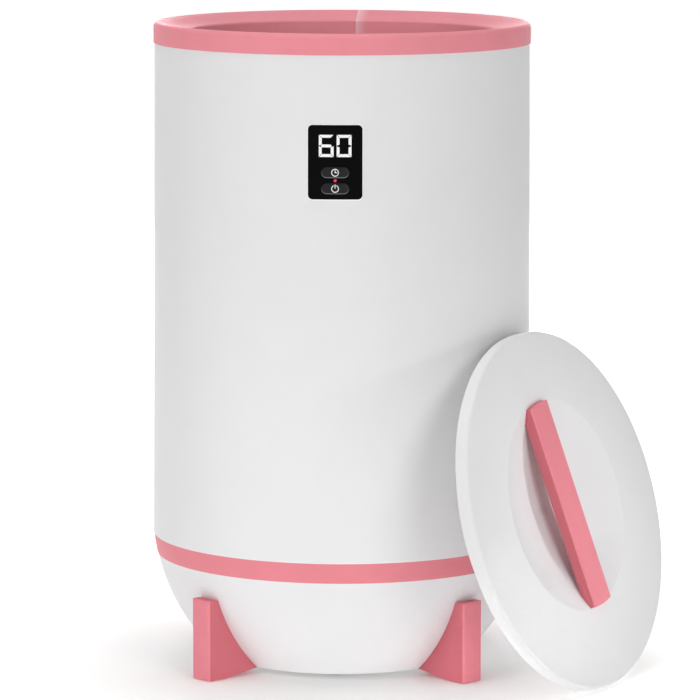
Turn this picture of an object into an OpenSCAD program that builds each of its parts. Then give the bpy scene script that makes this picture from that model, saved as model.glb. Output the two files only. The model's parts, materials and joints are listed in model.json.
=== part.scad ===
// Towel warmer bucket with its lid off: the lid stands on the floor and leans against the body.
// The origin is on the floor under the middle of the body, +Z is up and the control panel faces -Y.

/* [Body] */
// Outside diameter of the body wall at the band
body_d = 300; // [297:1:302]
// Outside diameter of the body wall at the rim
body_top_d = 295; // [294:0.5:297]
// Height of the top of the body wall above the floor
wall_top = 491; // [480:1:500]
// Thickness of the body wall
wall_t = 2.5; // [2:0.1:3]
// Height of the pink rim ring above the body wall
rim_h = 16; // [14:0.5:18]
// Radius of the rounding on the rim's outer edge
rim_round = 4; // [3:0.5:5]
// How far the funnel face drops from the rim to the mouth
funnel_drop = 6.5; // [5:0.5:8]
// Diameter of the mouth
mouth_d = 243; // [241:0.5:245]

/* [Base] */
// Height of the lower edge of the pink band
band_z = 85.9; // [84:0.1:90]
// Height of the pink band
band_h = 15.7; // [13:0.1:17]
// Diameter of the bowl where it meets the band
bowl_mouth_d = 293.6; // [292:0.2:295]
// Height of the bowl's flat bottom above the floor
bowl_z = 3.8; // [3.2:0.2:6]
// Thickness of the bowl
bowl_t = 2.5; // [2:0.1:3]

/* [Feet] */
// Distance from the middle to the outer face of a foot
foot_r = 150; // [148:0.5:151]
// Distance from the middle to the point where a foot's underside ends inside the bowl
foot_tip_r = 96; // [92:1:97]
// Thickness of a foot
foot_t = 19.5; // [17:0.5:21]
// Height of a foot at its outer face
foot_h = 64; // [60:0.5:66]

/* [Lid] */
// Diameter of the lid
lid_d = 281.2; // [279:0.2:283]
// Thickness of the lid at its edge
lid_t = 11; // [10.5:0.1:12.5]
// Diameter of the dish in the lid
dish_d = 166; // [160:1:170]
// How far the dish and the bar lie up the slope from the lid's middle
dish_shift = 3.5; // [0:0.5:5]
// Depth of the dish
dish_depth = 20; // [18:0.5:21]
// Diameter of the plug under the lid
plug_d = 236; // [234:0.5:237]
// How far the plug reaches below the lid
plug_h = 15.3; // [14:0.1:16]
// Angle by which the lid leans back from upright
lid_lean = 16; // [14:0.5:18]
// Direction from the body to the lid, counted from +X
lid_dir = -30; // [-35:1:-25]

/* [Handle] */
// Width of the bar
bar_w = 28; // [26:0.5:30]
// Thickness of the bar
bar_t = 9; // [8:0.5:10]
// How far the bar stands above the lid's face
bar_proud = 4; // [3:0.5:5]
// Turn of the bar on the lid
bar_turn = 9; // [0:1:20]

/* [Control panel] */
// Width of the panel
panel_w = 42.8; // [40:0.2:44]
// Height of the panel
panel_h = 58; // [56:0.2:59]
// Height of the panel's middle above the floor
panel_z = 410.2; // [400:0.2:415]
// Radius of the panel's corners
panel_corner = 4.2; // [3.5:0.1:5]
// Height of a digit
digit_h = 16.8; // [16:0.1:17.5]
// Width of a digit
digit_w = 11.2; // [10.5:0.1:11.6]
// Width of a button
button_w = 21; // [19:0.5:22]
// Height of a button
button_h = 8.2; // [7.8:0.1:8.4]
// Travel of a button
button_travel = 0.8; // [0.5:0.1:1]

/* [Hidden] */
$fn = 96;
pink = [0.91, 0.55, 0.60];
white = [0.93, 0.93, 0.92];
black = [0.05, 0.05, 0.055];
aluminium = [0.78, 0.79, 0.80];
felt = [0.86, 0.84, 0.78];
board_green = [0.10, 0.36, 0.20];
steel = [0.62, 0.63, 0.65];

// Body
body_r = body_d / 2;
body_top_r = body_top_d / 2;
rim_r = body_top_r + 0.9;
rim_top = wall_top + rim_h;
mouth_r = mouth_d / 2;
mouth_z = rim_top - funnel_drop;
collar_z = mouth_z - 32.5;
collar_t = 2.5;
skirt_r = body_top_r - wall_t - 0.2;
skirt_t = 2.5;
seam_dir = 86.9;

// Band and bowl: both follow one sphere, so the band runs on into the bowl
band_top = band_z + band_h;
band_in_r = 143;
ledge_in_r = 134;
ledge_t = 3;
ledge_z = band_z + ledge_t;
bowl_r = body_r;
bowl_cz = band_z + sqrt(pow(bowl_r, 2) - pow(bowl_mouth_d / 2, 2));
band_proud = 0.4;
bowl_round = 12;
bowl_floor_t = 3;
bowl_floor_z = bowl_z + bowl_floor_t;
bowl_flat_r = sqrt(pow(bowl_r - bowl_round, 2) - pow(bowl_cz - bowl_z - bowl_round, 2));

// Feet
foot_dirs = [225, 315, 135, 45];
pad_z = 0.6;
pad_t = 2;
foot_chamfer = 1.2;
foot_flat_r = 134;
foot_tip_z = 5.2;
foot_top_round = 4.5;
foot_pad_len = 10;
foot_pad_r = foot_r - 8;
foot_screw_z = [24, 48];
foot_screw_r = 1.9;
foot_boss_in = 8;

// Chassis, liner and heater
chassis_z = ledge_z;
chassis_t = 2.5;
chassis_r = band_in_r - 0.6;
chassis_screw_r = 137.4;
post_r = 5;
post_ring_r = 80;
liner_z = chassis_z + chassis_t + 5.5;
liner_t = 1.2;
liner_r = mouth_r - 0.5;
liner_in_r = liner_r - liner_t;
liner_corner = 14;
cord_r = 1.2;
cord_ring_r = liner_r + cord_r + 0.4;
cord_rows = 9;
cord_z = liner_z + 24;
cord_pitch = 38;
cord_span = 316;
foil_r = cord_ring_r + cord_r + 0.4;
foil_t = 0.5;
felt_in_r = foil_r + foil_t + 0.8;
felt_t = 12;
felt_top = collar_z - 6;

// Wires from the base to the control panel, which pass the band through a notch
harness_w = 16;
harness_y = -140.5;
harness_plug_t = 4;

// Base electronics
board_x = 96;
board_y = 64;
board_t = 1.6;
board_z = bowl_floor_z + 13;
gland_z = 36;
gland_bore_r = 3.8;
gland_boss_y = 134.5;

// Control panel, measured outwards from the body's axis
panel_wall_r = wall_r_at(panel_z);
lens_r = panel_wall_r + 0.5;
lens_t = 2.5;
bezel_w = 0.7;
bezel_r = panel_wall_r + 0.8;
housing_back = panel_wall_r - 21.5;
housing_wall = 2.2;
housing_w = panel_w + 6;
housing_h = panel_h + 6;
housing_out_r = wall_r_at(panel_z + housing_h / 2) - wall_t - 0.1;
ctrl_board_out = panel_wall_r - 16;
ctrl_board_t = 1.6;
ctrl_screw_x = 16;
ctrl_screw_y = 24;
digit_gap = 2.3;
digit_stroke = 2.2;
digit_y = 12.4;
segment_gap = 0.22;
mark_t = 0.15;
timer_y = -7.85;
led_y = -13.95;
power_y = -20.1;
led_r = 1.15;
button_r = panel_wall_r + 0.9;
button_gap = 0.3;
button_back = panel_wall_r - 4;
stem_r = 1.5;
switch_h = 3.5;
switch_front = ctrl_board_out + ctrl_board_t + switch_h;
icon_r = 2.9;
icon_stroke = 0.6;

// Lid, in its own frame: its outer face at 0, its axis along z, x down the slope
lid_r = lid_d / 2;
lid_round = 2.8;
lid_back_round = 1.5;
lid_skin = 2.5;
dish_r = dish_d / 2;
dish_sphere_r = (pow(dish_r, 2) + pow(dish_depth, 2)) / (2 * dish_depth);
dish_cz = dish_sphere_r - dish_depth;
dish_edge_round = 6;
dish_edge_r = sqrt(pow(dish_sphere_r + dish_edge_round, 2) - pow(dish_cz + dish_edge_round, 2));
dish_edge_angle = asin(dish_edge_r / (dish_sphere_r + dish_edge_round));
dish_edge_foot = [
  dish_edge_r - dish_edge_round * sin(dish_edge_angle) - 1,
  dish_edge_round * (cos(dish_edge_angle) - 1) - 0.3
];
plug_r = plug_d / 2;
plug_z = -lid_t - plug_h;
plug_round = 3;
plug_wall = 2;
lean_gap = 0.4;
lid_cz = (lid_r - lid_back_round) * cos(lid_lean) + (lid_t - lid_back_round) * sin(lid_lean)
  + lid_back_round;
lean_z = 248;
lid_cr = wall_r_at(lean_z) + lean_gap + (plug_r - plug_round) * sin(lid_lean)
  + (-plug_z - plug_round) * cos(lid_lean) + plug_round;
bar_end_r = dish_r - 0.7;
bar_screw_r = 77;
bar_boss_z = -8.5;

// Points on an arc, from one angle to another
function arc(centre, r, from, to, steps) = [
  for (i = [0:steps])
    let (a = from + (to - from) * i / steps)
      centre + r * [cos(a), sin(a)]
];

// Radius of the tapered wall's outside at a height
function wall_r_at(z) = body_r + (body_top_r - body_r) * (z - band_top) / (wall_top - band_top);

// Radius of the bowl's sphere at a height
function bowl_r_at(z) = sqrt(pow(bowl_r, 2) - pow(bowl_cz - z, 2));

// A rectangle with round corners, about its middle
module round_rect(w, h, r) {
  square([w - 2 * r, h], center = true);
  square([w, h - 2 * r], center = true);
  for (x = [-1, 1], y = [-1, 1])
    translate([x * (w / 2 - r), y * (h / 2 - r)]) circle(r);
}

// A capsule about its middle
module capsule(w, h) {
  square([w - h, h], center = true);
  for (x = [-1, 1])
    translate([x * (w - h) / 2, 0]) circle(h / 2);
}

// Turns local z outwards through the panel, with local y up from the panel's middle
module on_panel() {
  translate([0, 0, panel_z]) rotate([90, 0, 0]) children();
}

// Extrudes a panel outline outwards between two distances from the body's axis
module panel_prism(from, to) {
  on_panel() translate([0, 0, from]) linear_extrude(to - from) children();
}

// Keeps the part of a panel piece that lies between two radii about the body's axis
module between_radii(inner, outer) {
  difference() {
    intersection() {
      children();
      translate([0, 0, panel_z - panel_h]) cylinder(r = outer, h = 2 * panel_h);
    }
    translate([0, 0, panel_z - panel_h - 1]) cylinder(r = inner, h = 2 * panel_h + 2);
  }
}

// Puts a piece drawn in the lid's own frame where the lid leans
module on_lid() {
  translate([lid_cr * cos(lid_dir), lid_cr * sin(lid_dir), lid_cz])
    rotate([0, 90 - lid_lean, lid_dir])
      children();
}

// Puts a piece on the axis of the dish, turned with the bar, in the lid's own frame
module on_dish() {
  translate([-dish_shift, 0, 0]) rotate([0, 0, bar_turn]) children();
}

// Puts a piece at both screws of the handle, in the lid's own frame
module bar_screw_places() {
  on_dish()
    for (x = [-1, 1])
      translate([x * bar_screw_r, 0, 0]) children();
}

// A screw with its head's top at 0 and its shank going down
module screw(head_r, head_h, shank_r, length) {
  translate([0, 0, -head_h]) cylinder(r = head_r, h = head_h);
  translate([0, 0, -length]) cylinder(r = shank_r, h = length - head_h);
}

// The wall tapers a little towards the rim
module outer_shell() {
  color(white)
    difference() {
      rotate_extrude($fn = 144)
        polygon([
          [body_r, band_top],
          [body_top_r, wall_top],
          [body_top_r - wall_t, wall_top],
          [body_r - wall_t, band_top]
        ]);
      panel_prism(panel_wall_r - 12, body_r + 5)
        round_rect(panel_w + 0.2, panel_h + 0.2, panel_corner + 0.1);
    }
}

// The channel-shaped section of the rim: rounded outer edge, funnel face, collar and skirt
module rim_section() {
  channel_top = mouth_z - 3;
  polygon(concat(
    [[rim_r, wall_top]],
    arc([rim_r - rim_round, rim_top - rim_round], rim_round, 0, 90, 8),
    arc([mouth_r + 2, mouth_z - 2], 2, 75, 180, 6),
    [
      [mouth_r, collar_z],
      [mouth_r + collar_t, collar_z],
      [mouth_r + collar_t, channel_top],
      [skirt_r - skirt_t, channel_top + funnel_drop * 0.7],
      [skirt_r - skirt_t, wall_top - 11],
      [skirt_r - 0.8, wall_top - 11],
      [skirt_r, wall_top - 10],
      [skirt_r, wall_top]
    ]
  ));
}

module rim_ring() {
  rib_count = 12;
  rib_t = 2;
  color(pink) {
    rotate_extrude($fn = 144) rim_section();
    for (i = [0:rib_count - 1])
      rotate([90, 0, (i + 0.5) * 360 / rib_count])
        translate([0, 0, -rib_t / 2])
          linear_extrude(rib_t)
            polygon([
              [mouth_r + 1, collar_z + 14],
              [skirt_r - 1, wall_top - 9],
              [skirt_r - 1, mouth_z + 0.5],
              [mouth_r + 1, mouth_z - 3.5]
            ]);
    rotate([0, 0, seam_dir])
      rotate_extrude(angle = 0.4)
        polygon([
          [rim_r - rim_round - 1, rim_top - 1.5],
          [rim_r - rim_round - 1, rim_top + 0.02],
          [mouth_r + 1.5, mouth_z + 0.35],
          [mouth_r - 0.3, mouth_z - 1.5],
          [mouth_r - 0.3, collar_z + 1],
          [mouth_r + 1, collar_z + 1],
          [mouth_r + 1, mouth_z - 2]
        ]);
  }
}

module band_ring() {
  spigot_t = 2.4;
  color(pink)
    difference() {
      rotate_extrude($fn = 144) {
        difference() {
          intersection() {
            translate([0, bowl_cz]) circle(bowl_r + band_proud, $fn = 360);
            translate([band_in_r, band_z]) square([body_r, band_h]);
          }
          translate([0, band_z - 1]) square([band_in_r, band_h + 2]);
        }
        translate([ledge_in_r, band_z]) square([band_in_r - ledge_in_r + 1, ledge_t]);
        translate([body_r - wall_t - 0.3 - spigot_t, band_top - 2]) square([spigot_t, 12]);
        translate([band_in_r - 3.6, band_z - 8]) square([spigot_t, 10]);
      }
      for (a = [45:90:315])
        rotate([0, 0, a]) translate([chassis_screw_r, 0, band_z - 1])
          cylinder(r = 1.55, h = ledge_t + 2);
      translate([-harness_w / 2, harness_y - 2, band_z - 9])
        cube([harness_w, 10, ledge_t + 10]);
    }
}

// The bowl's filled outline: a sphere cut flat at the bottom, with a rounded edge
module bowl_outline(grow) {
  intersection() {
    translate([0, bowl_cz]) circle(bowl_r + grow, $fn = 360);
    polygon(concat(
      [[0, band_z], [0, bowl_z - grow]],
      arc([bowl_flat_r, bowl_z + bowl_round], bowl_round + grow, -90, -44, 6),
      [[body_r + 5, bowl_z + 4], [body_r + 5, band_z]]
    ));
  }
}

module bowl_solid(grow) {
  rotate_extrude($fn = 144) bowl_outline(grow);
}

module base_bowl() {
  color(white)
    difference() {
      union() {
        rotate_extrude($fn = 144)
          difference() {
            bowl_outline(0);
            intersection() {
              translate([0, bowl_cz]) circle(bowl_r - bowl_t, $fn = 360);
              translate([0, bowl_floor_z]) square([body_r, band_z]);
            }
          }
        for (x = [-1, 1], y = [-1, 1])
          translate([x * (board_x / 2 - 6), y * (board_y / 2 - 6), bowl_z + 1])
            cylinder(r = 4, h = board_z - bowl_z - 1);
        intersection() {
          bowl_solid(-1);
          for (a = foot_dirs, z = foot_screw_z)
            rotate([0, 0, a]) translate([bowl_r_at(z) - foot_boss_in, 0, z])
              rotate([0, 90, 0]) cylinder(r = 5, h = foot_boss_in + 4);
        }
        intersection() {
          translate([0, gland_boss_y, gland_z])
            rotate([90, 0, 0]) cylinder(r = 11, h = 30);
          difference() {
            translate([-20, 100, 10]) cube([40, 40, 60]);
            translate([0, 0, bowl_cz]) sphere(bowl_r - bowl_t, $fn = 144);
          }
        }
      }
      translate([0, gland_boss_y + 1, gland_z]) rotate([90, 0, 0]) cylinder(r = 6, h = 40);
      for (x = [-1, 1], y = [-1, 1])
        translate([x * (board_x / 2 - 6), y * (board_y / 2 - 6), bowl_floor_z])
          cylinder(r = 1.3, h = board_z);
      for (a = [0:90:270])
        rotate([0, 0, a]) translate([post_ring_r, 0, 0]) {
          cylinder(r = 1.9, h = 20);
          cylinder(r = 3.6, h = bowl_z + 1.6);
        }
      for (a = foot_dirs, z = foot_screw_z)
        rotate([0, 0, a]) translate([bowl_r_at(z) - 20, 0, z])
          rotate([0, 90, 0]) cylinder(r = foot_screw_r + 0.1, h = 30);
    }
}

// Side view of a foot: upright outer face, top rounded down to the bowl, underside lifting to the tip
module foot_side() {
  top_in = [foot_r - 7.8, foot_h - foot_top_round];
  polygon(concat(
    [
      [foot_r - foot_chamfer, pad_z],
      [foot_r, pad_z + foot_chamfer],
      [foot_r, foot_h - foot_chamfer],
      [foot_r - foot_chamfer, foot_h]
    ],
    arc(top_in, foot_top_round, 90, 180, 6),
    [
      [foot_tip_r, foot_h - foot_top_round],
      [foot_tip_r, foot_tip_z],
      [foot_flat_r, pad_z]
    ]
  ));
}

// Plan of a foot, with its outer corners taken off
module foot_plan() {
  polygon([
    [foot_tip_r - 5, -foot_t / 2],
    [foot_r - foot_chamfer, -foot_t / 2],
    [foot_r, foot_chamfer - foot_t / 2],
    [foot_r, foot_t / 2 - foot_chamfer],
    [foot_r - foot_chamfer, foot_t / 2],
    [foot_tip_r - 5, foot_t / 2]
  ]);
}

// Outline of a foot's rubber pad
module pad_plan(grow) {
  translate([foot_pad_r, 0]) round_rect(foot_pad_len + 2 * grow, foot_t - 5 + 2 * grow, 2);
}

module foot(dir) {
  color(pink)
    rotate([0, 0, dir])
      difference() {
        intersection() {
          rotate([90, 0, 0]) translate([0, 0, -foot_t / 2]) linear_extrude(foot_t) foot_side();
          linear_extrude(foot_h + 10) foot_plan();
        }
        bowl_solid(0.05);
        translate([0, 0, -1]) linear_extrude(pad_t + 1) pad_plan(0.05);
        for (z = foot_screw_z)
          translate([bowl_r_at(z) - 10, 0, z])
            rotate([0, 90, 0]) cylinder(r = foot_screw_r + 0.05, h = 20.5);
      }
}

module foot_front_left() {
  foot(foot_dirs[0]);
}

module foot_front_right() {
  foot(foot_dirs[1]);
}

module foot_rear_left() {
  foot(foot_dirs[2]);
}

module foot_rear_right() {
  foot(foot_dirs[3]);
}

module foot_pads() {
  color([0.45, 0.25, 0.28])
    for (a = foot_dirs)
      rotate([0, 0, a]) linear_extrude(pad_t) pad_plan(0);
}

module foot_screws() {
  color(steel)
    for (a = foot_dirs, z = foot_screw_z)
      rotate([0, 0, a]) translate([bowl_r_at(z) - foot_boss_in - 2, 0, z])
        rotate([0, -90, 0]) screw(3.4, 2, foot_screw_r, 20);
}

module chassis_plate() {
  color([0.75, 0.75, 0.73])
    difference() {
      union() {
        translate([0, 0, chassis_z]) cylinder(r = chassis_r, h = chassis_t);
        for (a = [0:90:270])
          rotate([0, 0, a]) translate([post_ring_r, 0, bowl_floor_z])
            cylinder(r = post_r, h = chassis_z - bowl_floor_z + 1);
        for (a = [30:120:270])
          rotate([0, 0, a]) translate([88, 0, chassis_z + 1])
            cylinder(r = 7, h = liner_z - chassis_z - 1);
      }
      translate([0, 0, chassis_z - 1]) cylinder(r = 26, h = chassis_t + 2);
      translate([-harness_w / 2, -chassis_r - 1, chassis_z - 1])
        cube([harness_w, 9, chassis_t + 2]);
      for (a = [0:90:270]) {
        rotate([0, 0, a]) translate([post_ring_r, 0, bowl_floor_z - 1])
          cylinder(r = 1.55, h = 20);
        rotate([0, 0, a + 45]) translate([chassis_screw_r, 0, chassis_z - 1])
          cylinder(r = 1.6, h = chassis_t + 2);
      }
    }
}

module chassis_screws() {
  color(steel)
    for (a = [45:90:315])
      rotate([0, 0, a]) translate([chassis_screw_r, 0, chassis_z + chassis_t + 2])
        screw(3, 2, 1.5, 9.5);
}

module base_screws() {
  color(steel)
    for (a = [0:90:270])
      rotate([0, 0, a]) translate([post_ring_r, 0, bowl_z + 0.4])
        rotate([180, 0, 0]) screw(3.3, 1.2, 1.5, 16);
}

module inner_liner() {
  bottom_in_z = liner_z + 1.5;
  flange_r = liner_r + 5.5;
  color(aluminium)
    rotate_extrude($fn = 144)
      polygon(concat(
        [[0, liner_z]],
        arc([liner_r - liner_corner, liner_z + liner_corner], liner_corner, -90, 0, 8),
        [
          [liner_r, collar_z - 1.2],
          [flange_r, collar_z - 1.2],
          [flange_r, collar_z],
          [liner_in_r, collar_z]
        ],
        arc([liner_in_r - liner_corner + 1, bottom_in_z + liner_corner - 1], liner_corner - 1, 0, -90, 8),
        [[0, bottom_in_z]]
      ));
}

// A cord laid back and forth round the liner, with a sleeve over each turn
module heater_cord() {
  start = 90 + (360 - cord_span) / 2;
  color([0.80, 0.36, 0.16])
    union() {
      for (row = [0:cord_rows - 1])
        translate([0, 0, cord_z + row * cord_pitch])
          rotate([0, 0, start])
            rotate_extrude(angle = cord_span)
              translate([cord_ring_r, 0]) circle(cord_r);
      for (row = [0:cord_rows - 2])
        rotate([0, 0, start + (row % 2 == 0 ? cord_span : 0)])
          translate([cord_ring_r, 0, cord_z + row * cord_pitch - cord_r - 0.4])
            cylinder(r = cord_r + 0.35, h = cord_pitch + 2 * cord_r + 0.8);
    }
}

module heater_foil() {
  color([0.83, 0.84, 0.85])
    rotate([0, 0, 93])
      rotate_extrude(angle = 354, $fn = 144)
        translate([foil_r + 0.4, liner_z + 16]) square([foil_t, felt_top - liner_z - 22]);
}

module insulation_sleeve() {
  color(felt)
    difference() {
      rotate([0, 0, 94])
        rotate_extrude(angle = 352, $fn = 144)
          translate([felt_in_r + 0.4, liner_z + 10]) square([felt_t, felt_top - liner_z - 10]);
      translate([-housing_w / 2 - 2, -body_r, panel_z - housing_h / 2 - 2])
        cube([housing_w + 4, 60, housing_h + 4]);
    }
}

module thermostat() {
  color([0.55, 0.50, 0.45]) {
    translate([0, 0, liner_z - 4]) cylinder(r = 7.9, h = 4);
    translate([0, 0, liner_z - 13]) cylinder(r = 7.2, h = 9.5);
    translate([-12, -4.5, liner_z - 4.8]) cube([24, 9, 0.9]);
    for (x = [-1, 1])
      translate([x * 4 - 0.4, -3, liner_z - 20]) cube([0.8, 6, 8]);
  }
}

module thermal_fuse() {
  fuse_z = liner_z - 2.6;
  color([0.88, 0.84, 0.70])
    translate([0, 18, fuse_z]) rotate([0, 90, 0]) {
      translate([0, 0, -6]) cylinder(r = 2.2, h = 12);
      translate([0, 0, -16]) cylinder(r = 0.5, h = 32);
    }
}

module power_board() {
  color(board_green)
    translate([0, 0, board_z])
      difference() {
        translate([-board_x / 2, -board_y / 2, 0]) cube([board_x, board_y, board_t]);
        for (x = [-1, 1], y = [-1, 1])
          translate([x * (board_x / 2 - 6), y * (board_y / 2 - 6), -1])
            cylinder(r = 1.6, h = board_t + 2);
      }
}

// Relay, transformer, capacitors, fuse and terminal block
module power_components() {
  top = board_z + board_t;
  color([0.16, 0.22, 0.42]) {
    translate([-34, -8, top]) cube([19, 15.5, 15]);
    translate([-8, -12, top]) cube([28, 24, 20]);
    translate([30, -10, top]) cylinder(r = 5, h = 18);
    translate([30, 6, top]) cylinder(r = 4, h = 14);
    translate([-22, 18, top]) cube([40, 8, 11]);
    translate([-18, -27, top]) cube([22, 6, 7]);
  }
}

module power_screws() {
  color(steel)
    for (x = [-1, 1], y = [-1, 1])
      translate([x * (board_x / 2 - 6), y * (board_y / 2 - 6), board_z + board_t + 2])
        screw(2.8, 2, 1.25, 10);
}

// Three wires between a plug that sits in the chassis plate's notch and one under the panel housing
module wire_harness() {
  wire_r = 1.1;
  plug_h = 7;
  from_z = chassis_z - 2;
  to_z = panel_z - housing_h / 2 - plug_h;
  color([0.30, 0.30, 0.32])
    translate([0, harness_y, 0]) {
      translate([-harness_w / 2, -harness_plug_t / 2, from_z]) cube([harness_w, harness_plug_t, plug_h]);
      for (x = [-3.2, 0, 3.2])
        translate([x, 0, from_z + 1]) cylinder(r = wire_r, h = to_z - from_z);
      translate([-5.5, -harness_plug_t / 2, to_z]) cube([11, harness_plug_t, plug_h]);
    }
}

module cord_gland() {
  color([0.20, 0.20, 0.21])
    translate([0, gland_boss_y, gland_z])
      rotate([-90, 0, 0])
        difference() {
          union() {
            translate([0, 0, -19]) cylinder(r = 5.9, h = 19.5);
            cylinder(r = 8.6, h = 1.6);
            translate([0, 0, 1.6]) cylinder(r1 = 8.6, r2 = 7.2, h = 1.2);
          }
          translate([0, 0, -20]) cylinder(r = gland_bore_r, h = 24);
        }
}

// Puts a piece at the four screws of the control board, at a distance from the body's axis
module ctrl_screw_places(out) {
  for (x = [-1, 1], y = [-1, 1])
    on_panel() translate([x * ctrl_screw_x, y * ctrl_screw_y, out]) children();
}

// A box behind the wall that is open to the front, with four posts for the control board
module panel_housing() {
  post_h = ctrl_board_out - housing_back;
  color(black)
    difference() {
      union() {
        difference() {
          intersection() {
            panel_prism(housing_back, body_r) round_rect(housing_w, housing_h, 4);
            translate([0, 0, panel_z - housing_h]) cylinder(r = housing_out_r, h = 2 * housing_h);
          }
          panel_prism(housing_back + housing_wall, body_r + 5)
            round_rect(housing_w - 2 * housing_wall, housing_h - 2 * housing_wall, 3);
        }
        ctrl_screw_places(housing_back + 1) cylinder(r = 2.8, h = post_h - 1);
      }
      ctrl_screw_places(housing_back - 1) cylinder(r = 1.25, h = post_h + 2);
      panel_prism(housing_back - 1, housing_back + 4) translate([0, -29]) square([12, 8], center = true);
    }
}

module control_board() {
  color(board_green)
    difference() {
      panel_prism(ctrl_board_out, ctrl_board_out + ctrl_board_t)
        round_rect(panel_w - 2, panel_h - 2, 2);
      ctrl_screw_places(ctrl_board_out - 1) cylinder(r = 1.4, h = ctrl_board_t + 2);
    }
}

module panel_screws() {
  color(steel)
    ctrl_screw_places(ctrl_board_out + ctrl_board_t + 1.6) screw(2.4, 1.6, 1.2, 8);
}

module tact_switches() {
  color([0.12, 0.12, 0.13])
    for (y = [timer_y, power_y])
      on_panel() translate([0, y, ctrl_board_out + ctrl_board_t])
        difference() {
          linear_extrude(switch_h) square(6, center = true);
          translate([0, 0, switch_h - button_travel - 0.9]) cylinder(r = stem_r + 0.5, h = switch_h);
        }
}

module display_module() {
  color([0.15, 0.15, 0.16])
    panel_prism(ctrl_board_out + ctrl_board_t, lens_r - lens_t - 1.4)
      translate([0, digit_y]) square([28, 20], center = true);
}

module panel_bezel() {
  color([0.96, 0.96, 0.97])
    between_radii(panel_wall_r - wall_t, bezel_r)
      panel_prism(panel_wall_r - 12, bezel_r + 5)
        difference() {
          round_rect(panel_w, panel_h, panel_corner);
          round_rect(panel_w - 2 * bezel_w, panel_h - 2 * bezel_w, panel_corner - bezel_w);
        }
}

module panel_lens() {
  lens_gap = 0.05;
  lens_w = panel_w - 2 * bezel_w - 2 * lens_gap;
  lens_h = panel_h - 2 * bezel_w - 2 * lens_gap;
  color(black)
    between_radii(lens_r - lens_t, lens_r)
      panel_prism(panel_wall_r - 12, lens_r + 5)
        difference() {
          round_rect(lens_w, lens_h, panel_corner - bezel_w);
          for (y = [timer_y, power_y])
            translate([0, y]) capsule(button_w + 2 * button_gap, button_h + 2 * button_gap);
          translate([0, led_y]) circle(led_r + 0.05);
        }
}

// One digit from its lit segments; x and y start at its lower left corner
module digit(lit) {
  w = digit_w;
  h = digit_h;
  s = digit_stroke;
  g = segment_gap;
  upright = [[0, g], [s, s + g], [s, (h - s) / 2], [0, h / 2 - g]];
  level = [[g, 0], [s + g, s], [w - s - g, s], [w - g, 0]];
  middle = [
    [s / 2 + g, h / 2], [s + g, (h + s) / 2], [w - s - g, (h + s) / 2],
    [w - s / 2 - g, h / 2], [w - s - g, (h - s) / 2], [s + g, (h - s) / 2]
  ];
  for (name = lit) {
    if (name == "d") polygon(level);
    if (name == "a") translate([0, h]) mirror([0, 1]) polygon(level);
    if (name == "e") polygon(upright);
    if (name == "f") translate([0, h]) mirror([0, 1]) polygon(upright);
    if (name == "c") translate([w, 0]) mirror([1, 0]) polygon(upright);
    if (name == "b") translate([w, h]) mirror([1, 0]) mirror([0, 1]) polygon(upright);
    if (name == "g") polygon(middle);
  }
}

// The digits 6 and 0
module display_digits() {
  color([0.98, 0.98, 1])
    between_radii(lens_r, lens_r + mark_t)
      panel_prism(lens_r - 5, lens_r + 5) {
        translate([-digit_w - digit_gap / 2, digit_y - digit_h / 2]) digit(["a", "c", "d", "e", "f", "g"]);
        translate([digit_gap / 2, digit_y - digit_h / 2]) digit(["a", "b", "c", "d", "e", "f"]);
      }
}

module indicator_led() {
  board_front = ctrl_board_out + ctrl_board_t;
  color([0.90, 0.12, 0.12])
    on_panel() translate([0, led_y, board_front]) {
      cylinder(r = led_r, h = lens_r + 0.1 - board_front);
      cylinder(r = led_r + 0.6, h = 3);
    }
}

// A capsule-shaped button with a lip behind the lens and a stem to its switch
module button(y) {
  color([0.17, 0.17, 0.18])
    intersection() {
      union() {
        panel_prism(button_back, button_r + 5) translate([0, y]) capsule(button_w, button_h);
        panel_prism(button_back - 1.2, button_back + 1.1)
          translate([0, y]) capsule(button_w + 2.4, button_h + 1.6);
        on_panel() translate([0, y, switch_front - 0.6])
          cylinder(r = stem_r, h = button_back - switch_front + 0.6);
      }
      translate([0, 0, panel_z - panel_h]) cylinder(r = button_r, h = 2 * panel_h);
    }
}

module timer_button() {
  button(timer_y);
}

module power_button() {
  button(power_y);
}

// A sign that stands just above a button's face
module button_mark(y) {
  color([0.85, 0.86, 0.88])
    between_radii(button_r, button_r + mark_t)
      panel_prism(button_r - 5, button_r + 5) translate([0, y]) children();
}

// A clock: a ring with two hands
module timer_icon() {
  button_mark(timer_y) {
    difference() {
      circle(icon_r);
      circle(icon_r - icon_stroke);
    }
    translate([-icon_stroke / 2, -icon_stroke / 2]) square([icon_stroke, icon_r - icon_stroke - 0.2]);
    translate([-icon_stroke / 2, -icon_stroke / 2]) square([icon_r - icon_stroke - 0.3, icon_stroke]);
  }
}

// An open ring with an upright bar in its gap
module power_icon() {
  button_mark(power_y) {
    difference() {
      circle(icon_r);
      circle(icon_r - icon_stroke);
      translate([-1.1, 0]) square([2.2, icon_r + 1]);
    }
    translate([-icon_stroke / 2, 0.3]) square([icon_stroke, icon_r]);
  }
}

// The lid's cover in section: a rounded disc with a skirt
module lid_section() {
  difference() {
    polygon(concat(
      [[0, 0]],
      arc([lid_r - lid_round, -lid_round], lid_round, 90, 0, 8),
      arc([lid_r - lid_back_round, lid_back_round - lid_t], lid_back_round, 0, -90, 5),
      [[0, -lid_t]]
    ));
    polygon([
      [-1, -lid_skin],
      [lid_r - lid_skin - 2, -lid_skin],
      [lid_r - lid_skin, -lid_skin - 2],
      [lid_r - lid_skin, -lid_t - 1],
      [-1, -lid_t - 1]
    ]);
  }
}

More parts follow.
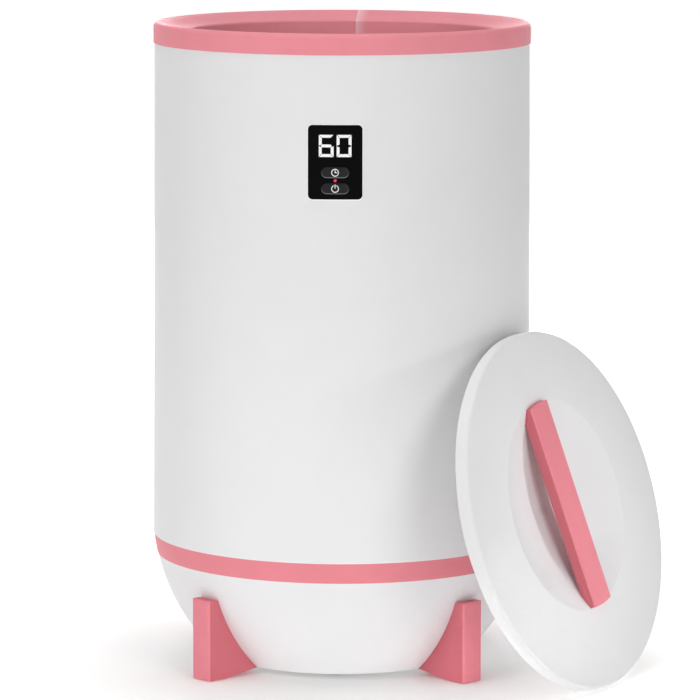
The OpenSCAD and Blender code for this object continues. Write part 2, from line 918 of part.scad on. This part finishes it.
// The dish's hollow in section: a sphere with a soft edge where it meets the lid's face
module dish_section() {
  difference() {
    union() {
      translate([0, dish_cz]) circle(dish_sphere_r, $fn = 360);
      polygon(concat(
        [[0, 1], [dish_edge_r, 1]],
        arc([dish_edge_r, -dish_edge_round], dish_edge_round, 90, 90 + 0.8 * dish_edge_angle, 4),
        [dish_edge_foot, [0, dish_edge_foot[1]]]
      ));
    }
    translate([-300, -50]) square([300, 500]);
  }
}

// A disc with a spherical dish, and a boss under the dish for each handle screw
module lid_top() {
  color(white)
    on_lid()
      difference() {
        union() {
          rotate_extrude($fn = 144) lid_section();
          on_dish()
            rotate_extrude($fn = 144)
              intersection() {
                translate([0, dish_cz]) circle(dish_sphere_r + lid_skin, $fn = 360);
                translate([0, -dish_depth - 5]) square([dish_r + 4, dish_depth + 4]);
              }
          bar_screw_places() translate([0, 0, bar_boss_z]) cylinder(r = 4.5, h = -bar_boss_z - 4);
        }
        on_dish() rotate_extrude($fn = 144) dish_section();
        bar_screw_places() translate([0, 0, bar_boss_z - 1]) cylinder(r = 1.7, h = 10);
      }
}

// Closes the lid from below and carries the plug that goes into the mouth
module lid_underside() {
  plate_t = 2;
  color(white)
    on_lid()
      rotate_extrude($fn = 144)
        polygon(concat(
          [[0, plug_z]],
          arc([plug_r - plug_round, plug_z + plug_round], plug_round, -90, 0, 5),
          [
            [plug_r, -lid_t],
            [lid_r - lid_skin - 0.2, -lid_t],
            [lid_r - lid_skin - 0.2, plate_t - lid_t],
            [plug_r - plug_wall, plate_t - lid_t],
            [plug_r - plug_wall, plug_z + 4],
            [plug_r - plug_wall - 2.3, plug_z + 1.7],
            [0, plug_z + 1.7]
          ]
        ));
}

module lid_seal() {
  color([0.88, 0.86, 0.84])
    on_lid()
      rotate_extrude($fn = 144)
        polygon([
          [plug_r, -lid_t - 7.5],
          [plug_r + 1.2, -lid_t - 7.2],
          [plug_r + 2.8, -lid_t - 4.5],
          [plug_r + 2.4, -lid_t - 4.1],
          [plug_r + 1.2, -lid_t - 2.5],
          [plug_r, -lid_t - 2.2]
        ]);
}

module lid_insulation() {
  color(felt)
    on_lid()
      difference() {
        translate([0, 0, plug_z + 1.9])
          cylinder(r = plug_r - plug_wall - 2.6, h = -plug_z - 1.9 - lid_skin - 0.3, $fn = 144);
        on_dish()
          rotate_extrude($fn = 144)
            intersection() {
              translate([0, dish_cz]) circle(dish_sphere_r + lid_skin + 0.2, $fn = 360);
              translate([0, -dish_depth - 5]) square([dish_r + 30, dish_depth + 6]);
            }
        bar_screw_places() translate([0, 0, bar_boss_z - 3]) cylinder(r = 5.2, h = 20);
      }
}

// A bar across the dish: its ends follow the dish's edge and its underside dives into the dish's wall
module handle_bar() {
  bevel = 0.8;
  lower = bar_proud - bar_t;
  color(pink)
    on_lid()
      on_dish()
        difference() {
          intersection() {
            rotate([90, 0, 90]) translate([0, 0, -dish_r])
              linear_extrude(dish_d)
                polygon([
                  [-bar_w / 2, lower],
                  [bar_w / 2, lower],
                  [bar_w / 2, bar_proud - bevel],
                  [bar_w / 2 - bevel, bar_proud],
                  [bevel - bar_w / 2, bar_proud],
                  [-bar_w / 2, bar_proud - bevel]
                ]);
            translate([0, 0, lower - 1]) cylinder(r = bar_end_r, h = bar_t + 2, $fn = 144);
          }
          rotate_extrude($fn = 144)
            difference() {
              translate([0, -dish_depth]) square([dish_r + 2, dish_depth]);
              translate([0, dish_cz]) circle(dish_sphere_r - 0.1, $fn = 360);
            }
          for (x = [-1, 1])
            translate([x * bar_screw_r, 0, -dish_depth]) cylinder(r = 1.55, h = dish_depth + 1.5);
        }
}

module handle_screws() {
  color(steel)
    on_lid()
      bar_screw_places()
        difference() {
          union() {
            translate([0, 0, bar_boss_z]) cylinder(r = 1.5, h = 1 - bar_boss_z);
            translate([0, 0, bar_boss_z - 2]) cylinder(r = 3, h = 2);
          }
          translate([0, 0, bar_boss_z - 2.5]) cylinder(r = 1.2, h = 1.5, $fn = 6);
        }
}

outer_shell();
rim_ring();
band_ring();
base_bowl();
foot_front_left();
foot_front_right();
foot_rear_left();
foot_rear_right();
foot_pads();
foot_screws();
chassis_plate();
chassis_screws();
base_screws();
inner_liner();
heater_cord();
heater_foil();
insulation_sleeve();
thermostat();
thermal_fuse();
power_board();
power_components();
power_screws();
wire_harness();
cord_gland();
panel_housing();
panel_screws();
control_board();
tact_switches();
display_module();
panel_bezel();
panel_lens();
display_digits();
indicator_led();
timer_button();
timer_icon();
power_button();
power_icon();
lid_top();
lid_underside();
lid_seal();
lid_insulation();
handle_bar();
handle_screws();
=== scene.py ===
import json
import math

import bpy
from mathutils import Matrix, Vector

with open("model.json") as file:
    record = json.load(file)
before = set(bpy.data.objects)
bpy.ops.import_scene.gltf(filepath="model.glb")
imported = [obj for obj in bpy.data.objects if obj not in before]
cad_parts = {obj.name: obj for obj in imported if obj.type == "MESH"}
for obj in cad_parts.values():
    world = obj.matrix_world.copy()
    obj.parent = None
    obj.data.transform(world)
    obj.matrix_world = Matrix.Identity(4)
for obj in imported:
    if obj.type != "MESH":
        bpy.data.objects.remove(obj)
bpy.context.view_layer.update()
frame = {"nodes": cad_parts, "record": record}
nodes = frame["nodes"]
scene = bpy.context.scene

# Lengths are in metres. The bucket stands on the origin, its panel faces -Y, and +Z is up.


# Sizes and places on the object

X = 0
Z = 2


def reach(node, axis):
    """The lowest and the highest place of a node along an axis."""
    places = [corner[axis] for corner in nodes[node].bound_box]
    return min(places), max(places)


BODY_R = reach("outer_shell", X)[1]
# The capsule that is the face of a button
BUTTON_W = 0.0210
BUTTON_H = 0.0082
# The way that the outside of the leaning lid faces
LID_AZIMUTH = math.radians(-30)
LID_LEAN = math.radians(16)
LID_OUTWARD = (
    math.cos(LID_LEAN) * math.cos(LID_AZIMUTH),
    math.cos(LID_LEAN) * math.sin(LID_AZIMUTH),
    math.sin(LID_LEAN),
)
# The seam at the back of the rim, as an angle round the body's axis
SEAM_ANGLE = math.radians(86.9)

FEET = ["foot_" + corner for corner in ("front_left", "front_right", "rear_left", "rear_right")]
BUTTONS = ["timer_button", "power_button"]


# Colours

def srgb(r, g, b):
    """A colour of 0 to 255 per channel as the linear colour that a shader takes."""
    def linear(c):
        c = c / 255.0
        return c / 12.92 if c <= 0.04045 else ((c + 0.055) / 1.055) ** 2.4
    return (linear(r), linear(g), linear(b), 1.0)


def shade(colour, k):
    """The colour made lighter or darker by the factor k."""
    return tuple(min(1.0, c * k) for c in colour[:3]) + (1.0,)


FULL_WHITE = (1, 1, 1, 1)
WHITE = srgb(241, 241, 242)
PINK = srgb(239, 141, 152)
# A lighter copy of the trim pink for the rim, as painted light
PINK_RIM_PAINTED_LIGHT = srgb(244, 149, 160)
# A deeper pink, painted as shade on the sides of the feet and of the bar
PINK_PAINTED_SHADE = srgb(214, 114, 125)
# A pale pink, painted as a highlight beside the seam at the back of the rim
PINK_SEAM_HIGHLIGHT = srgb(253, 208, 214)


# Material helpers

class Material:
    """A material with its Principled shader, and ways to add detail to it.

    Its patterns lie in the object's coordinates, which are the frame's on every node.
    """

    # The parts of a noise's range of 0 to 1 over which colour and roughness change
    COLOUR_RANGE = (0.35, 0.65)
    ROUGHNESS_RANGE = (0.3, 0.7)

    def __init__(self, name):
        self.data = bpy.data.materials.new(name)
        self.data.use_nodes = True
        self.tree = self.data.node_tree
        self.shader = self.tree.nodes["Principled BSDF"]
        coordinates = self.tree.nodes.new("ShaderNodeTexCoord")
        self.place = coordinates.outputs["Object"]
        self.normal = coordinates.outputs["Normal"]

    def link(self, source, socket):
        self.tree.links.new(source, socket)

    def set(self, **values):
        """Sets sockets of the shader, with _ for a space in a socket's name."""
        for name, value in values.items():
            self.shader.inputs[name.replace("_", " ")].default_value = value

    def calc(self, operation, a, b=None):
        """A math node on one or two values, each a socket or a number."""
        n = self.tree.nodes.new("ShaderNodeMath")
        n.operation = operation
        for socket, value in zip(n.inputs, (a, b)):
            if value is None:
                continue
            if isinstance(value, (int, float)):
                socket.default_value = value
            else:
                self.link(value, socket)
        return n.outputs[0]

    def vector(self, operation, a, b=None):
        """A vector math node on a socket, and on a fixed vector where it takes two."""
        n = self.tree.nodes.new("ShaderNodeVectorMath")
        n.operation = operation
        self.link(a, n.inputs[0])
        if b is not None:
            n.inputs[1].default_value = b
        one_number = operation in ("LENGTH", "DISTANCE", "DOT_PRODUCT")
        return n.outputs["Value" if one_number else "Vector"]

    def xyz(self):
        """The three coordinates of the place, each as a socket."""
        split = self.tree.nodes.new("ShaderNodeSeparateXYZ")
        self.link(self.place, split.inputs[0])
        return split.outputs["X"], split.outputs["Y"], split.outputs["Z"]

    def noise(self, scale, detail, rough=0.55, stretch=None):
        source = self.place
        if stretch:
            mapping = self.tree.nodes.new("ShaderNodeMapping")
            mapping.inputs["Scale"].default_value = stretch
            self.link(source, mapping.inputs["Vector"])
            source = mapping.outputs["Vector"]
        n = self.tree.nodes.new("ShaderNodeTexNoise")
        n.inputs["Scale"].default_value = scale
        n.inputs["Detail"].default_value = detail
        n.inputs["Roughness"].default_value = rough
        self.link(source, n.inputs["Vector"])
        return n.outputs["Fac"]

    def ramp(self, value, stops):
        """The colour that a list of (value, colour) stops gives for a value."""
        r = self.tree.nodes.new("ShaderNodeValToRGB")
        elements = r.color_ramp.elements
        while len(elements) < len(stops):
            elements.new(0.5)
        for element, (position, colour) in zip(elements, stops):
            element.position = position
            element.color = colour
        self.link(value, r.inputs["Fac"])
        return r.outputs["Color"]

    def fade(self, value, start, end, low=0.0, high=1.0):
        """Goes from low to high as the value goes from start to end, and no further."""
        r = self.tree.nodes.new("ShaderNodeMapRange")
        r.inputs["From Min"].default_value = start
        r.inputs["From Max"].default_value = end
        r.inputs["To Min"].default_value = low
        r.inputs["To Max"].default_value = high
        self.link(value, r.inputs["Value"])
        return r.outputs["Result"]

    def colour(self, noise, a, b):
        """Lets the base colour wander between two colours."""
        stops = list(zip(self.COLOUR_RANGE, (a, b)))
        self.link(self.ramp(noise, stops), self.shader.inputs["Base Color"])

    def shades(self, noise, base, spread):
        """Lets the base colour wander between a darker and a lighter shade of one colour."""
        self.colour(noise, shade(base, 1 - spread), shade(base, 1 + spread))

    def roughness(self, noise, middle, swing):
        """Lets the roughness wander by the swing to either side of its middle."""
        rough = self.fade(noise, *self.ROUGHNESS_RANGE, middle - swing, middle + swing)
        self.link(rough, self.shader.inputs["Roughness"])

    def bump(self, noise, strength, distance):
        """Adds a layer of bump on top of the ones that are there."""
        n = self.tree.nodes.new("ShaderNodeBump")
        n.inputs["Strength"].default_value = strength
        n.inputs["Distance"].default_value = distance
        self.link(noise, n.inputs["Height"])
        below = self.shader.inputs["Normal"].links
        if below:
            self.link(below[0].from_socket, n.inputs["Normal"])
        self.link(n.outputs["Normal"], self.shader.inputs["Normal"])

    def blend(self, share, other):
        """Mixes another colour into the base colour, by a share of 0 to 1."""
        base = self.shader.inputs["Base Color"]
        mix = self.tree.nodes.new("ShaderNodeMix")
        mix.data_type = "RGBA"
        self.link(share, mix.inputs["Factor"])
        self.link(base.links[0].from_socket, mix.inputs["A"])
        mix.inputs["B"].default_value = other
        self.link(mix.outputs["Result"], base)


def plastic(name, base, rough, spread, grain, bump):
    """Moulded plastic: a fine grain, a faint waviness, and small changes in colour and gloss."""
    m = Material(name)
    m.shades(m.noise(scale=34, detail=4), base, spread)
    m.roughness(m.noise(scale=150, detail=5, rough=0.6), rough, swing=0.05)
    m.bump(m.noise(scale=grain, detail=2, rough=0.5), strength=bump, distance=0.00006)
    m.bump(m.noise(scale=16, detail=2, rough=0.5), strength=0.05, distance=0.0006)
    return m


def rubber(name, base, rough):
    m = Material(name)
    m.shades(m.noise(scale=60, detail=4), base, spread=0.08)
    m.roughness(m.noise(scale=240, detail=4), rough, swing=0.08)
    m.bump(m.noise(scale=1800, detail=3), strength=0.2, distance=0.0001)
    return m


def metal(name, base, rough, stretch=None):
    """Metal with an even grain, or with one that lies in rings where stretch is high along Z."""
    m = Material(name)
    m.set(Metallic=1.0)
    gloss = m.noise(scale=300, detail=4, rough=0.6, stretch=stretch)
    grain = m.noise(scale=500, detail=3, rough=0.6, stretch=stretch)
    m.shades(m.noise(scale=30, detail=4), base, spread=0.04)
    m.roughness(gloss, rough, swing=0.08)
    m.bump(grain, strength=0.08, distance=0.00008)
    return m


# Materials

def white_shell():
    m = plastic("white_shell", WHITE, rough=0.42, spread=0.006, grain=2600, bump=0.08)
    m.set(Specular_IOR_Level=0.06, Coat_Weight=0.06, Coat_Roughness=0.10)
    return m


def pink_trim(name="pink_trim", base=PINK):
    m = plastic(name, base, rough=0.50, spread=0.018, grain=2200, bump=0.10)
    m.set(Specular_IOR_Level=0.2)
    return m


def pink_foot():
    """The pink of the feet, with painted shade: a deeper pink on the sides than on the outer face.
    """
    m = pink_trim("pink_trim_foot_painted_shade")
    face_r = BODY_R - 0.0008
    side_r = BODY_R - 0.0020
    from_axis = m.vector("LENGTH", m.vector("MULTIPLY", m.place, (1, 1, 0)))
    # Painted shade: the sides of each foot, nearer the axis than the outer face, get the deeper
    # pink
    m.blend(m.fade(from_axis, face_r, side_r), PINK_PAINTED_SHADE)
    return m


def pink_bar():
    """The pink of the bar on the lid, with painted shade: a deeper pink on its long sides."""
    m = pink_trim("pink_trim_bar_painted_shade")
    face_cosine = 0.45
    side_cosine = 0.10
    cosine = m.vector("DOT_PRODUCT", m.normal, LID_OUTWARD)
    # Painted shade: faces of the bar that turn away from the lid's outward way get the deeper pink
    m.blend(m.fade(cosine, face_cosine, side_cosine), PINK_PAINTED_SHADE)
    return m


def pink_rim():
    """The pink of the rim: a lighter pink than the trim's, as painted light, which grows paler
    towards the seam from one side as a painted highlight.
    """
    m = pink_trim("pink_trim_rim", PINK_RIM_PAINTED_LIGHT)
    width = math.radians(4.8)
    curve = 1.8
    most = 0.95
    x, y, _ = m.xyz()
    angle = m.calc("ARCTAN2", y, x)
    way = m.calc("DIVIDE", m.calc("SUBTRACT", angle, SEAM_ANGLE - width), width)
    before_seam = m.calc("LESS_THAN", way, 1.0)
    nearness = m.calc("MULTIPLY", before_seam, m.calc("MAXIMUM", way, 0.0))
    # Painted highlight: the pale pink fades in towards the seam from one side
    m.blend(m.calc("MULTIPLY", m.calc("POWER", nearness, curve), most), PINK_SEAM_HIGHLIGHT)
    return m


def lens_black():
    m = Material("lens_black")
    m.colour(m.noise(scale=40, detail=3), srgb(5, 5, 6), srgb(8, 8, 9))
    m.roughness(m.noise(scale=220, detail=4), middle=0.09, swing=0.03)
    m.bump(m.noise(scale=40, detail=2), strength=0.02, distance=0.0003)
    m.set(Specular_IOR_Level=0.04)
    return m


def button_grey(node):
    """Dark grey with a painted highlight: a lighter line along the lower edge of the capsule-shaped
    button.

    The line lies where the face goes past a capsule of its own size that sits a little higher.
    """
    m = plastic(node + "_grey", srgb(32, 32, 34), rough=0.38, spread=0.04, grain=3000, bump=0.12)
    m.set(Specular_IOR_Level=0.12)
    rise = 0.0006
    end_r = BUTTON_H / 2
    end_x = BUTTON_W / 2 - end_r
    middle_z = sum(reach(node, Z)) / 2 + rise
    highlight_from = end_r - 0.0002
    highlight_full = end_r + 0.0001
    x, _, z = m.xyz()
    across = m.calc("MAXIMUM", m.calc("SUBTRACT", m.calc("ABSOLUTE", x), end_x), 0.0)
    up = m.calc("SUBTRACT", z, middle_z)
    squares = m.calc("ADD", m.calc("MULTIPLY", across, across), m.calc("MULTIPLY", up, up))
    # Painted highlight: a lighter grey along the lower edge of the button
    m.blend(m.fade(m.calc("SQRT", squares), highlight_from, highlight_full), srgb(118, 118, 121))
    return m


def digit_light():
    """The white of the lit digits, which glow a little, as the red light does."""
    m = Material("digit_light")
    m.colour(m.noise(scale=400, detail=3), srgb(212, 212, 214), srgb(218, 218, 220))
    m.roughness(m.noise(scale=400, detail=3), middle=0.35, swing=0.05)
    m.set(Emission_Color=FULL_WHITE, Emission_Strength=0.30)
    return m


def led_red():
    m = Material("led_red")
    m.colour(m.noise(scale=600, detail=3), srgb(214, 40, 44), srgb(232, 60, 62))
    m.roughness(m.noise(scale=600, detail=3), middle=0.25, swing=0.05)
    m.set(Emission_Color=srgb(230, 46, 50), Emission_Strength=0.2)
    return m


def icon_print():
    """The white of the signs, with a faint glow that keeps them white on the dark panel."""
    m = plastic("icon_print", srgb(236, 237, 239), rough=0.40, spread=0.02, grain=3000, bump=0.05)
    m.set(Emission_Color=FULL_WHITE, Emission_Strength=0.10)
    return m


def bezel_white():
    """The white of the panel's edge, with a faint glow that sets it off from the wall."""
    m = plastic("bezel_white", srgb(248, 248, 249), rough=0.18, spread=0.006, grain=2600, bump=0.03)
    m.set(Emission_Color=FULL_WHITE, Emission_Strength=0.12)
    return m


def felt():
    m = Material("felt")
    m.colour(m.noise(scale=500, detail=6, rough=0.7), srgb(196, 190, 176), srgb(228, 224, 212))
    m.roughness(m.noise(scale=500, detail=4), middle=0.93, swing=0.05)
    m.bump(m.noise(scale=1100, detail=6, rough=0.75), strength=0.6, distance=0.0006)
    m.set(Sheen_Weight=0.2)
    return m


# Plain plastics: colour, roughness, spread of the colour, scale of the grain and its bump
PLASTICS = {
    "chassis_plastic": (srgb(200, 200, 196), 0.55, 0.03, 1500, 0.12),
    "thermostat_body": (srgb(140, 128, 115), 0.50, 0.06, 1200, 0.15),
    "fuse_ceramic": (srgb(224, 214, 180), 0.25, 0.03, 1800, 0.05),
    "circuit_board": (srgb(26, 92, 52), 0.35, 0.10, 900, 0.20),
    "board_parts": (srgb(42, 58, 108), 0.45, 0.15, 900, 0.20),
    "inner_black": (srgb(24, 24, 26), 0.50, 0.10, 1600, 0.15),
}
# Rubbers: colour and roughness
RUBBERS = {
    "pad_rubber": (srgb(150, 96, 104), 0.75),
    "heater_silicone": (srgb(200, 96, 44), 0.50),
    "wire_sheath": (srgb(78, 78, 82), 0.45),
    "gland_rubber": (srgb(52, 52, 55), 0.75),
    "seal_silicone": (srgb(226, 222, 218), 0.50),
}
# Metals: colour, roughness, and the stretch of the grain where it isn't even
METALS = {
    "screw_steel": (srgb(170, 172, 176), 0.32),
    "liner_aluminium": (srgb(206, 208, 211), 0.30, (1.0, 1.0, 12.0)),
    "heater_foil_metal": (srgb(214, 216, 220), 0.22),
}

material_of_slot = {
    "white_shell": white_shell(),
    "pink_trim": pink_trim(),
    "bezel_white": bezel_white(),
    "lens_black": lens_black(),
    "digit_light": digit_light(),
    "led_red": led_red(),
    "icon_print": icon_print(),
    "felt": felt(),
}
for make, rows in ((plastic, PLASTICS), (rubber, RUBBERS), (metal, METALS)):
    for slot, row in rows.items():
        material_of_slot[slot] = make(slot, *row)

# Nodes whose colour depends on the place or on the way that a face looks, which carry painted shade
# on the bar and the feet and painted highlights on the rim and the buttons
material_of_node = {"rim_ring": pink_rim(), "handle_bar": pink_bar()}
material_of_node.update({button: button_grey(button) for button in BUTTONS})
material_of_node.update(dict.fromkeys(FEET, pink_foot()))


# CAD nodes: their materials, soft edges, and smooth shading over their round faces

# Points closer than this are joined
SAME_POINT = 1e-6
# Faces that meet at less than this are shaded as one
SMOOTH_BELOW = math.radians(28)
# Faces that meet at less than this are made one before the edges are softened
FLAT_WITHIN = math.radians(0.5)
# Edges whose faces meet at more than this are softened
SOFT_ABOVE = math.radians(32)

# Width of the soft edge that a node's sharp edges get
soft_edge = dict.fromkeys(FEET, 0.0007)
soft_edge.update(dict.fromkeys(["handle_bar"] + BUTTONS, 0.0003))


def smooth_group():
    """Geometry nodes that weld a mesh and shade it smooth, but not across its sharp edges."""
    g = bpy.data.node_groups.new("smooth_by_angle", "GeometryNodeTree")
    g.interface.new_socket("Geometry", in_out="INPUT", socket_type="NodeSocketGeometry")
    g.interface.new_socket("Geometry", in_out="OUTPUT", socket_type="NodeSocketGeometry")
    group_in = g.nodes.new("NodeGroupInput")
    group_out = g.nodes.new("NodeGroupOutput")
    weld = g.nodes.new("GeometryNodeMergeByDistance")
    weld.inputs["Distance"].default_value = SAME_POINT
    faces = g.nodes.new("GeometryNodeSetShadeSmooth")
    faces.domain = "FACE"
    edges = g.nodes.new("GeometryNodeSetShadeSmooth")
    edges.domain = "EDGE"
    edges.inputs["Shade Smooth"].default_value = False
    edge_angle = g.nodes.new("GeometryNodeInputMeshEdgeAngle")
    sharp = g.nodes.new("FunctionNodeCompare")
    sharp.operation = "GREATER_THAN"
    sharp.inputs[1].default_value = SMOOTH_BELOW
    g.links.new(group_in.outputs[0], weld.inputs["Geometry"])
    g.links.new(weld.outputs["Geometry"], faces.inputs["Geometry"])
    g.links.new(faces.outputs["Geometry"], edges.inputs["Geometry"])
    g.links.new(edge_angle.outputs["Unsigned Angle"], sharp.inputs[0])
    g.links.new(sharp.outputs["Result"], edges.inputs["Selection"])
    g.links.new(edges.outputs["Geometry"], group_out.inputs[0])
    return g


def soften(obj, width):
    """Joins the mesh's flat stretches into whole faces, and rounds the edges between them."""
    weld = obj.modifiers.new("weld", "WELD")
    weld.merge_threshold = SAME_POINT
    flat = obj.modifiers.new("flat", "DECIMATE")
    flat.decimate_type = "DISSOLVE"
    flat.angle_limit = FLAT_WITHIN
    bevel = obj.modifiers.new("soft_edge", "BEVEL")
    bevel.width = width
    bevel.segments = 2
    bevel.limit_method = "ANGLE"
    bevel.angle_limit = SOFT_ABOVE


smooth = smooth_group()
slot_of = {part["node"]: part["material_slot"] for part in frame["record"]["subparts"]}
for name, obj in nodes.items():
    material = material_of_node.get(name) or material_of_slot[slot_of[name]]
    for slot in obj.material_slots:
        slot.material = material.data
    if name in soft_edge:
        soften(obj, soft_edge[name])
    obj.modifiers.new("smooth", "NODES").node_group = smooth


# Stage: a pale floor that runs out into a white background

FLOOR_HALF = 12.0
# What the floor gives the object, as light from below
FLOOR_GLOW = 0.31
# What the camera sees on top of the lit floor: a light that grows with the distance from
# a place under the front of the body, so that the floor turns white away from the object.
# Each pair is a distance and the strength of the light there.
LIFT_MIDDLE = (0, -0.08, 0)
LIFT = [
    (0.02, 0.0), (0.055, 0.05), (0.09, 0.10),
    (0.19, 0.31), (0.225, 0.40), (0.27, 0.51),
    (0.36, 0.62), (0.60, 0.85), (1.0, 0.95),
]


def seen_directly(tree):
    """1 for what the camera, a glossy or a transmission ray sees, and 0 for other rays."""
    path = tree.nodes.new("ShaderNodeLightPath")
    last = path.outputs["Is Camera Ray"]
    for other in ("Is Glossy Ray", "Is Transmission Ray"):
        top = tree.nodes.new("ShaderNodeMath")
        top.operation = "MAXIMUM"
        tree.links.new(last, top.inputs[0])
        tree.links.new(path.outputs[other], top.inputs[1])
        last = top.outputs[0]
    return last


def floor_white():
    m = Material("floor_white")
    m.set(Roughness=0.9, Specular_IOR_Level=0.1)
    m.colour(m.noise(scale=3, detail=3), srgb(238, 238, 237), srgb(240, 240, 239))
    stops = [(distance, (light, light, light, 1.0)) for distance, light in LIFT]
    lift = m.ramp(m.vector("DISTANCE", m.place, LIFT_MIDDLE), stops)
    glow = m.tree.nodes.new("ShaderNodeEmission")
    glow.inputs["Strength"].default_value = FLOOR_GLOW
    seen = m.tree.nodes.new("ShaderNodeEmission")
    m.link(lift, seen.inputs["Strength"])
    either = m.tree.nodes.new("ShaderNodeMixShader")
    m.link(seen_directly(m.tree), either.inputs[0])
    m.link(glow.outputs[0], either.inputs[1])
    m.link(seen.outputs[0], either.inputs[2])
    both = m.tree.nodes.new("ShaderNodeAddShader")
    m.link(m.shader.outputs[0], both.inputs[0])
    m.link(either.outputs[0], both.inputs[1])
    m.link(both.outputs[0], m.tree.nodes["Material Output"].inputs["Surface"])
    return m


def add_floor():
    s = FLOOR_HALF
    mesh = bpy.data.meshes.new("floor")
    mesh.from_pydata([(-s, -s, 0), (s, -s, 0), (s, s, 0), (-s, s, 0)], [], [(0, 1, 2, 3)])
    floor = bpy.data.objects.new("floor", mesh)
    scene.collection.objects.link(floor)
    floor.data.materials.append(floor_white().data)


def add_world(strength):
    """A world that is white to look at, but lights the scene only by the strength."""
    world = bpy.data.worlds.new("world")
    scene.world = world
    world.use_nodes = True
    t = world.node_tree
    light = t.nodes["Background"]
    light.inputs["Color"].default_value = FULL_WHITE
    light.inputs["Strength"].default_value = strength
    seen = t.nodes.new("ShaderNodeBackground")
    seen.inputs["Color"].default_value = FULL_WHITE
    seen.inputs["Strength"].default_value = 1.0
    mix = t.nodes.new("ShaderNodeMixShader")
    t.links.new(seen_directly(t), mix.inputs[0])
    t.links.new(light.outputs[0], mix.inputs[1])
    t.links.new(seen.outputs[0], mix.inputs[2])
    t.links.new(mix.outputs[0], t.nodes["World Output"].inputs["Surface"])


add_floor()
add_world(strength=0.02)


# Lamps

WIDE = 180
# A lamp with a spread below this lights one place, and has no reflection
REFLECTED_ABOVE = 90
BODY_MIDDLE = (0, 0, 0.25)
LID_MIDDLE = (0.185, -0.11, 0.125)
RIGHT_FOOT = (0.13, -0.12, 0.045)
BOWL_FRONT = (-0.06, -0.14, 0.12)

# Name, place, target, width and height, power in watts, and spread in degrees
LAMPS = [
    ("left_high", (-1.9, -2.3, 2.3), BODY_MIDDLE, (1.4, 1.4), 20, WIDE),
    ("left_side", (-3.0, -1.4, 1.2), BODY_MIDDLE, (1.2, 1.2), 18, WIDE),
    ("right_front", (1.7, -2.8, 1.2), BODY_MIDDLE, (1.4, 1.2), 30, WIDE),
    ("top", (0, -0.3, 3.0), BODY_MIDDLE, (2.0, 2.0), 38, WIDE),
    ("back_left", (-0.4, 3.0, 0.7), BODY_MIDDLE, (0.6, 0.8), 14, WIDE),
    ("back_right", (0.4, 3.0, 0.7), BODY_MIDDLE, (0.6, 0.8), 14, WIDE),
    ("on_the_lid", (1.6, -0.35, 0.2), LID_MIDDLE, (0.2, 0.2), 0.047, 14),
    ("on_the_foot", (0.5, -2.3, 0.25), RIGHT_FOOT, (0.1, 0.1), 0.010, 3.5),
    ("low_front", (-0.5, -1.6, 0.4), BOWL_FRONT, (0.3, 0.3), 0.025, 14),
]


def add_area(name, at, target, size, power, spread):
    data = bpy.data.lights.new(name, "AREA")
    data.shape = "RECTANGLE"
    data.size, data.size_y = size
    data.energy = power
    data.spread = math.radians(spread)
    lamp = bpy.data.objects.new(name, data)
    lamp.location = at
    aim = Vector(target) - Vector(at)
    lamp.rotation_euler = aim.to_track_quat("-Z", "Y").to_euler()
    lamp.visible_camera = False
    lamp.visible_glossy = spread > REFLECTED_ABOVE
    scene.collection.objects.link(lamp)


for lamp in LAMPS:
    add_area(*lamp)


# Camera, at the photograph's place

CAMERA_AT = (0.1199, -3.3989, 0.7296)
CAMERA_LOOK = (-0.0330, 0.9895, -0.1408)
CAMERA_ROLL = 0.0018
# Focal length in mm, on a sensor 36 mm wide
CAMERA_LENS = 222.3


def add_camera(at, look, roll, lens):
    """A camera at a point that looks along a direction, rolled by an angle in radians."""
    look = Vector(look).normalized()
    level = look.cross(Vector((0, 0, 1))).normalized()
    up = level.cross(look)
    side = level * math.cos(roll) + up * math.sin(roll)
    top = up * math.cos(roll) - level * math.sin(roll)
    data = bpy.data.cameras.new("camera")
    data.sensor_width = 36.0
    data.lens = lens
    camera = bpy.data.objects.new("camera", data)
    scene.collection.objects.link(camera)
    columns = Matrix((side, top, -look)).transposed()
    camera.matrix_world = Matrix.Translation(at) @ columns.to_4x4()
    scene.camera = camera


add_camera(CAMERA_AT, CAMERA_LOOK, CAMERA_ROLL, CAMERA_LENS)

scene.view_settings.view_transform = "Standard"
